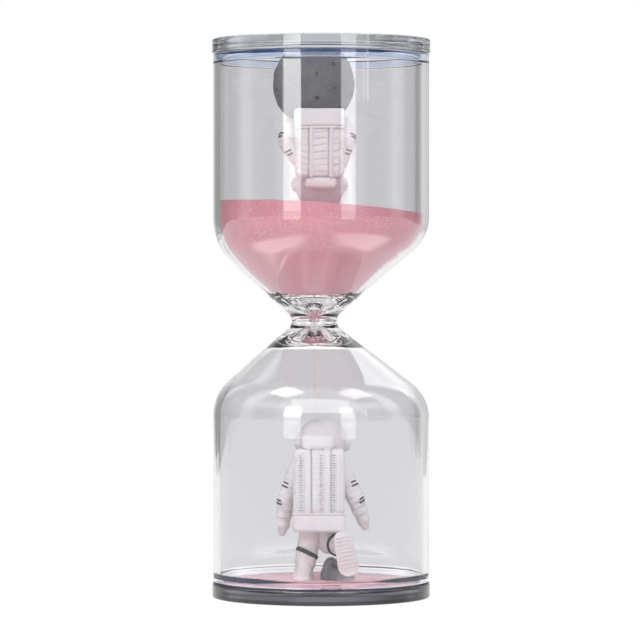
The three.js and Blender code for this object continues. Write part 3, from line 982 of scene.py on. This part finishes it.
def astronaut(prefix, figure, place):
    def add(part, shape, material, node):
        add_piece(f"{prefix}_{part}", shape, material, f"{prefix}_{node}", place)

    shell, visor, ears, collar = helmet_parts(figure)
    add("helmet_shell", shell, helmet_paint, "helmet")
    add("helmet_ears", ears, helmet_paint, "helmet")
    add("helmet_collar", collar, suit, "helmet")
    add("visor_dome", visor, visor_gloss, "visor")
    body, belt = torso_parts(figure)
    add("suit_body", body, suit, "torso")
    add("suit_belt", belt, suit, "torso")
    names = ("quilt", "base_box", "rim", "lid", "straps", "stitching")
    for name, shape in zip(names, pack_parts(figure)):
        add(f"pack_{name}", shape, thread if name == "stitching" else suit, "backpack")
    for side in ("left", "right"):
        for limb_name, names, shapes in (
            ("arm", ("sleeve", "cuff", "glove", "sleeve_marks"), arm_parts(figure[f"{side}_arm"])),
            ("leg", ("trouser", "ankle_band", "boot", "sole"), leg_parts(figure[f"{side}_leg"])),
        ):
            for name, shape in zip(names, shapes):
                dark = name in ("sleeve_marks", "ankle_band")
                add(f"{side}_{name}", shape, trim if dark else suit, f"{side}_{limb_name}")


FLOOR = DISC_TOP + 0.3
WALKER = {
    "head": (0.5, 0.6, 48.2),
    "seat": (-0.2, 0, 20.2),
    "shoulder": 38.4,
    "pack": {
        "left": -9.5, "right": 8.1, "base": 17.8, "mid": 23.7, "top": 46.3, "flap": 51.1,
        "back": -12.4, "front": -5.4, "rows": 13, "fold": 0.1, "strap": 1.9, "stitched": True,
    },
    "left_arm": {"shoulder": (-7.2, 0, 39.2), "elbow": (-12.3, -1, 28.4), "hand": (-13.0, 1, 19.6)},
    "right_arm": {"shoulder": (6.4, 0, 39.2), "elbow": (12.0, -2, 28.8), "hand": (14.6, 0.4, 21.4)},
    "left_leg": {
        "hip": (-3.4, 0, 20.2), "knee": (-4.4, 1.2, 12.8), "ankle": (-5.6, 0, 6.2),
        "band": 0.48, "band_lean": (-0.3, 0, 0), "band_width": 1.5,
        "boot": {"at": (-6.3, 1, 0), "toe": (0, 1, 0), "up": (0, 0, 1)},
    },
    "right_leg": {
        "hip": (2.9, 0, 20.4), "knee": (2.4, 1.6, 13.2), "ankle": (6.8, -6.6, 12.9),
        "band": 0.74, "band_width": 0.9,
        "boot": {"at": (7.9, -13.4, 12.4), "toe": (0.205, 0, -0.979), "up": (0, 1, 0)},
    },
}
SITTER = {
    "head": (0.5, 0.4, 45.2),
    "seat": (1.2, -1.6, 24.4),
    "shoulder": 36.0,
    "pack": {
        "left": -7.7, "right": 8.8, "base": 18.9, "mid": 25.1, "top": 42.7, "flap": 46.2,
        "back": -13.4, "front": -6.8, "rows": 8, "fold": 0.24, "strap": 1.1, "stitched": False,
    },
    "left_arm": {"shoulder": (-5.8, -1.2, 36.4), "elbow": (-8.8, -3, 29.6), "hand": (-8.7, 0.8, 25.0)},
    "right_arm": {"shoulder": (6.4, -1.2, 36.4), "elbow": (11.7, -3, 29.6), "hand": (10.6, 0.8, 25.0)},
    "left_leg": {
        "hip": (-2.2, -1, 27.2), "knee": (-3.4, 10.2, 24.8), "ankle": (-4.0, 16.8, 15.0),
        "band": 0.75, "band_width": 0.9,
        "boot": {"at": (-4.2, 19.0, 8.8), "toe": (-0.1, 0.9, -0.3), "up": (0, 0.3, 0.9)},
    },
    "right_leg": {
        "hip": (5.6, -1, 27.2), "knee": (8.0, 10.2, 24.8), "ankle": (9.0, 16.4, 15.0),
        "band": 0.75, "band_width": 0.9,
        "boot": {"at": (9.2, 18.6, 8.8), "toe": (0.1, 0.9, -0.3), "up": (0, 0.3, 0.9)},
    },
}

upright = Matrix.Translation((0, 0, FLOOR))
turned_over = Matrix.Translation((0, 0, CEILING - 0.3)) @ Matrix.Rotation(math.pi, 4, "Y")
astronaut("walking", WALKER, upright)
astronaut("sitting", SITTER, turned_over)


# ---- moon and rock ----

def crater(points, centre, size):
    """A dimple with a raised rim, as a height at each point."""
    away = np.linalg.norm(points - np.array(centre), axis=1) / size
    bowl = -0.5 * size * np.exp(-(away / 0.66) ** 4)
    rim = 0.22 * size * np.exp(-((away - 1.0) / 0.24) ** 2)
    return bowl + rim


def moon_sphere():
    points, faces = ball((0, 0, 0), (1, 1, 1), 220, 150)
    height = 0.06 * ripple(points * MOON_RADIUS, 9, 61) + 0.04 * ripple(points * MOON_RADIUS, 2.6, 62)
    # Four craters face the back of the astronaut, as (across, up, size) on the moon's face.
    facing = [(-1.1, 5.4, 1.15), (-0.8, -2.8, 0.9), (-6.8, -6.4, 1.1), (-7.2, 2.0, 1.0)]
    spots = []
    for across, up, size in facing:
        depth = -math.sqrt(MOON_RADIUS ** 2 - across ** 2 - up ** 2)
        spots.append((across, depth, up, size))
    count = 26
    for index in range(count):
        up = 0.8 - 1.6 * index / count
        angle = math.radians(137.5 * index + 40)
        reach = math.sqrt(1 - up * up)
        spot = np.array((reach * math.cos(angle), reach * math.sin(angle), up)) * MOON_RADIUS
        size = 0.6 + 0.35 * (index * 5 % 4)
        if spot[1] > -6:
            spots.append((*spot, size))
    for *centre, size in spots:
        height += crater(points * MOON_RADIUS, centre, size)
    points = points * (MOON_RADIUS + height)[:, None] + np.array(MOON_CENTRE)
    points[:, 2] = np.maximum(points[:, 2], 0)
    return points, faces


def rock():
    shapes = [
        ball((3.7, -1.4, 0), (4.0, 4.6, 8.4)),
        ball((6.8, -0.8, 0), (4.6, 5.2, 5.4)),
    ]

    def rough(points):
        dents = 1.8 * crater(points, (4.4, -4.8, 5.6), 1.15)
        dents += 1.4 * crater(points, (6.3, -3.2, 6.2), 0.6)
        return dents + 0.3 * ripple(points, 5, 71) + 0.2 * ripple(points, 1.8, 72)

    points, faces = fuse(shapes, 0.2, 3, rough)
    points[:, 2] = np.maximum(points[:, 2], 0)
    return points, faces


add_piece("hanging_moon", moon_sphere(), moon_stone, "moon_sphere", turned_over)
add_piece("crater_rock", rock(), moon_stone, "moon_rock", upright)


# ---- sand ----

def sand_height(x, y):
    away = np.hypot(x + SITTER["head"][0], y - SITTER["head"][1])
    pit = SAND_PIT * np.exp(-(away / SAND_PIT_REACH) ** 2)
    return SAND_LEVEL + SAND_TILT * x + SAND_BOW * x * x - pit


def upper_sand():
    inset = 0.12
    # The wall stops a few points short, below the lowest edge of the sand's surface.
    wall = even_wall(inner_outline(UPPER_BULB, inset)[1:-1])[:-4]
    rings = 60
    edge = GLASS_RADIUS - WALL - inset
    # A small blunt tip hangs in the orifice.
    tip = [(0, -0.6), (0.3, -0.6), (0.55, 0.9)]
    outline = tip + wall
    top_start = len(outline)
    # The surface gets its true height further down.
    outline += [(edge * (rings - step) / rings, 50) for step in range(rings + 1)]
    turns = 192
    points, faces = spin(outline, turns)
    count = len(outline) - 2
    on_top = np.tile(np.arange(count) >= top_start - 1, turns)
    on_top = np.concatenate([on_top, [False, True]])
    placed = into_vessel(points)
    placed[on_top, 0] = points[on_top, 0]
    relief = 0.16 * ripple(points[on_top], 7, 81) + 0.08 * ripple(points[on_top], 2.3, 82)
    edge_fade = 1 - smoothstep(np.hypot(points[on_top, 0], points[on_top, 1]), 33.5, 35.3)
    placed[on_top, 2] = sand_height(points[on_top, 0], points[on_top, 1]) + relief * edge_fade
    return placed, faces


def lower_sand():
    """A thin uneven layer on the disc, piled a little round the boots and the rock."""
    rings = 90
    edge = SEAL_INNER - 0.35
    outline = [(0, 0.02), (edge, 0.02)]
    outline += [(edge * (rings - step) / rings, 1) for step in range(rings + 1)]
    points, faces = spin(outline, 240)
    top = points[:, 2] > 0.5
    flat = points[top].copy()
    flat[:, 2] = 0
    x, y = flat[:, 0], flat[:, 1]
    height = 0.62 + 0.12 * ripple(flat, 16, 91)
    height += 0.06 * ripple(flat, 4, 92) + 0.03 * ripple(flat, 1.4, 93)
    for centre, reach, rise in (((-3.9, 2.5), 8, 0.35), ((5.4, -1.5), 7.5, 0.4)):
        height += rise * np.exp(-(np.hypot(x - centre[0], y - centre[1]) / reach) ** 2)
    points[top, 2] = height
    return points, faces


def falling_sand():
    """A sparse thread of loose grains."""
    low = FLOOR + WALKER["head"][2] + HELMET_RADIUS + 0.3
    high = WAIST_HEIGHT + 0.6
    chance = np.random.default_rng(7)
    grains = []
    z = low
    while z < high:
        size = chance.uniform(0.08, 0.15)
        stray = 0.03 + 0.12 * (high - z) / (high - low)
        x, y = chance.normal(0, stray, 2)
        grains.append(ball((NECK_SHIFT + x, y, z), (size, size, size * 1.3), 8, 5))
        z += size * chance.uniform(2.4, 5.5)
    return together(grains)


add_piece("upper_sand_bed", upper_sand(), sand, "upper_sand")
on_disc = Matrix.Translation((0, 0, DISC_TOP))
add_piece("lower_sand_layer", lower_sand(), thin_sand, "lower_sand", on_disc)
add_piece("falling_sand", falling_sand(), sand, "sand_stream")


# ---- camera ----

camera_data = bpy.data.cameras.new("camera")
camera_data.lens = CAMERA_LENS
camera_data.sensor_width = 36
camera_data.clip_start = 0.01
camera = new_object("camera", camera_data)
camera.location = (-0.0004, -CAMERA_DISTANCE, CAMERA_HEIGHT)
camera.rotation_euler = (math.radians(90 - CAMERA_PITCH), 0, 0)
scene.camera = camera


# ---- studio ----

SOFTBOX_DISTANCE = 0.8
TABLE_GLOW = 0.94
ARC_GLOW = 3.4


def panel(name, place, size, radiance, target=(0, 0, 0.08)):
    """A flat glowing panel that faces a target."""
    light = bpy.data.lights.new(name, "AREA")
    light.shape = "RECTANGLE"
    light.size, light.size_y = size
    light.energy = radiance * math.pi * size[0] * size[1]
    lamp = new_object(name, light)
    lamp.location = place
    aim = Vector(target) - Vector(place)
    lamp.rotation_euler = aim.to_track_quat("-Z", "Y").to_euler()


def softbox(name, azimuth, low, high, width, radiance):
    """An upright panel that faces the hourglass. Azimuth 0 is in front, positive to the right."""
    angle = math.radians(azimuth)
    height = (low + high) / 2
    place = (math.sin(angle) * SOFTBOX_DISTANCE, -math.cos(angle) * SOFTBOX_DISTANCE, height)
    panel(name, place, (width, high - low), radiance, (0, 0, height))


# The left and right softboxes are dimmer towards the floor. A narrow one lights one edge high up.
for name, azimuth, width, rows in (
    ("left", -30, 0.25, ((0.02, 0.135, 2.4), (0.135, 0.185, 4.0), (0.185, 0.55, 7.6))),
    ("right", 28.3, 0.226, ((0.02, 0.135, 2.2), (0.135, 0.185, 3.2), (0.185, 0.55, 4.5))),
    ("edge", 49, 0.04, ((0.205, 0.4, 3.0),)),
):
    for low, high, radiance in rows:
        softbox(f"{name}_softbox", azimuth, low, high, width, radiance)
panel("left_top_panel", (-0.34, -0.16, 0.78), (0.3, 0.3), 7)
panel("right_top_panel", (0.36, -0.16, 0.78), (0.3, 0.3), 5)
panel("front_panel", (0, -1.0, 0.8), (1.3, 0.8), 3.0)

# The table is wide, and a narrower strip of it runs on behind the hourglass.
TABLE_SIDE = 4.0
TABLE_BACK = 0.62
STRIP_SIDE = 0.42
STRIP_BACK = 1.64
right_edge = [
    (TABLE_SIDE, -TABLE_SIDE, 0), (TABLE_SIDE, TABLE_BACK, 0),
    (STRIP_SIDE, TABLE_BACK, 0), (STRIP_SIDE, STRIP_BACK, 0),
]
left_edge = [(-x, y, z) for x, y, z in reversed(right_edge)]
floor_mesh = bpy.data.meshes.new("floor")
floor_mesh.from_pydata(right_edge + left_edge, [], [tuple(range(8))])
floor = new_object("floor", floor_mesh)
floor.location = (0, 0, -0.0003)


def floor_material():
    """A glowing table, brighter in two arcs beside the base that light the sand from below."""
    material, tree, shader = new_material("pale_floor", (0.05, 0.05, 0.05), 0.8)
    shader.inputs["Specular IOR Level"].default_value = 0.1
    shader.inputs["Emission Color"].default_value = (1, 1, 1, 1)
    place, x, y, _ = coordinates(tree, "Object")
    reach = tree.nodes.new("ShaderNodeVectorMath")
    reach.operation = "LENGTH"
    tree.links.new(place, reach.inputs[0])
    ringed = grey_ramp(tree, reach.outputs["Value"], FLOOR_GLOW)
    ringed.node.color_ramp.interpolation = "EASE"
    beside = map_range(tree, arithmetic(tree, "ABSOLUTE", x), 0.025, 0.06)
    ahead = map_range(tree, y, 0.03, -0.01)
    corner = arithmetic(tree, "MULTIPLY", beside, ahead)
    arcs = arithmetic(tree, "MULTIPLY", corner, ringed)
    glow = map_range(tree, arcs, 0, 1, TABLE_GLOW, ARC_GLOW)
    tree.links.new(glow, shader.inputs["Emission Strength"])
    return material


floor_mesh.materials.append(floor_material())


def studio_world():
    """A white room with darker upright bands, which draw the edges of the glass."""
    world = bpy.data.worlds.new("studio")
    scene.world = world
    world.use_nodes = True
    tree = world.node_tree
    background = tree.nodes["Background"]
    _, x, y, z = coordinates(tree, "Generated")
    turn = map_range(tree, arithmetic(tree, "ARCTAN2", x, y), -math.pi, math.pi)
    stops = [((degrees + 180) / 360, value) for degrees, value in ROOM]
    tree.links.new(grey_ramp(tree, turn, stops), background.inputs["Color"])
    lift = map_range(tree, z, 0.2, 0.5, 1.0, SKY_LIFT)
    lift.node.interpolation_type = "SMOOTHSTEP"
    tree.links.new(lift, background.inputs["Strength"])


studio_world()

scene.view_settings.view_transform = "Standard"
scene.cycles.max_bounces = 20
scene.cycles.transmission_bounces = 20
scene.cycles.glossy_bounces = 6
scene.cycles.diffuse_bounces = 4
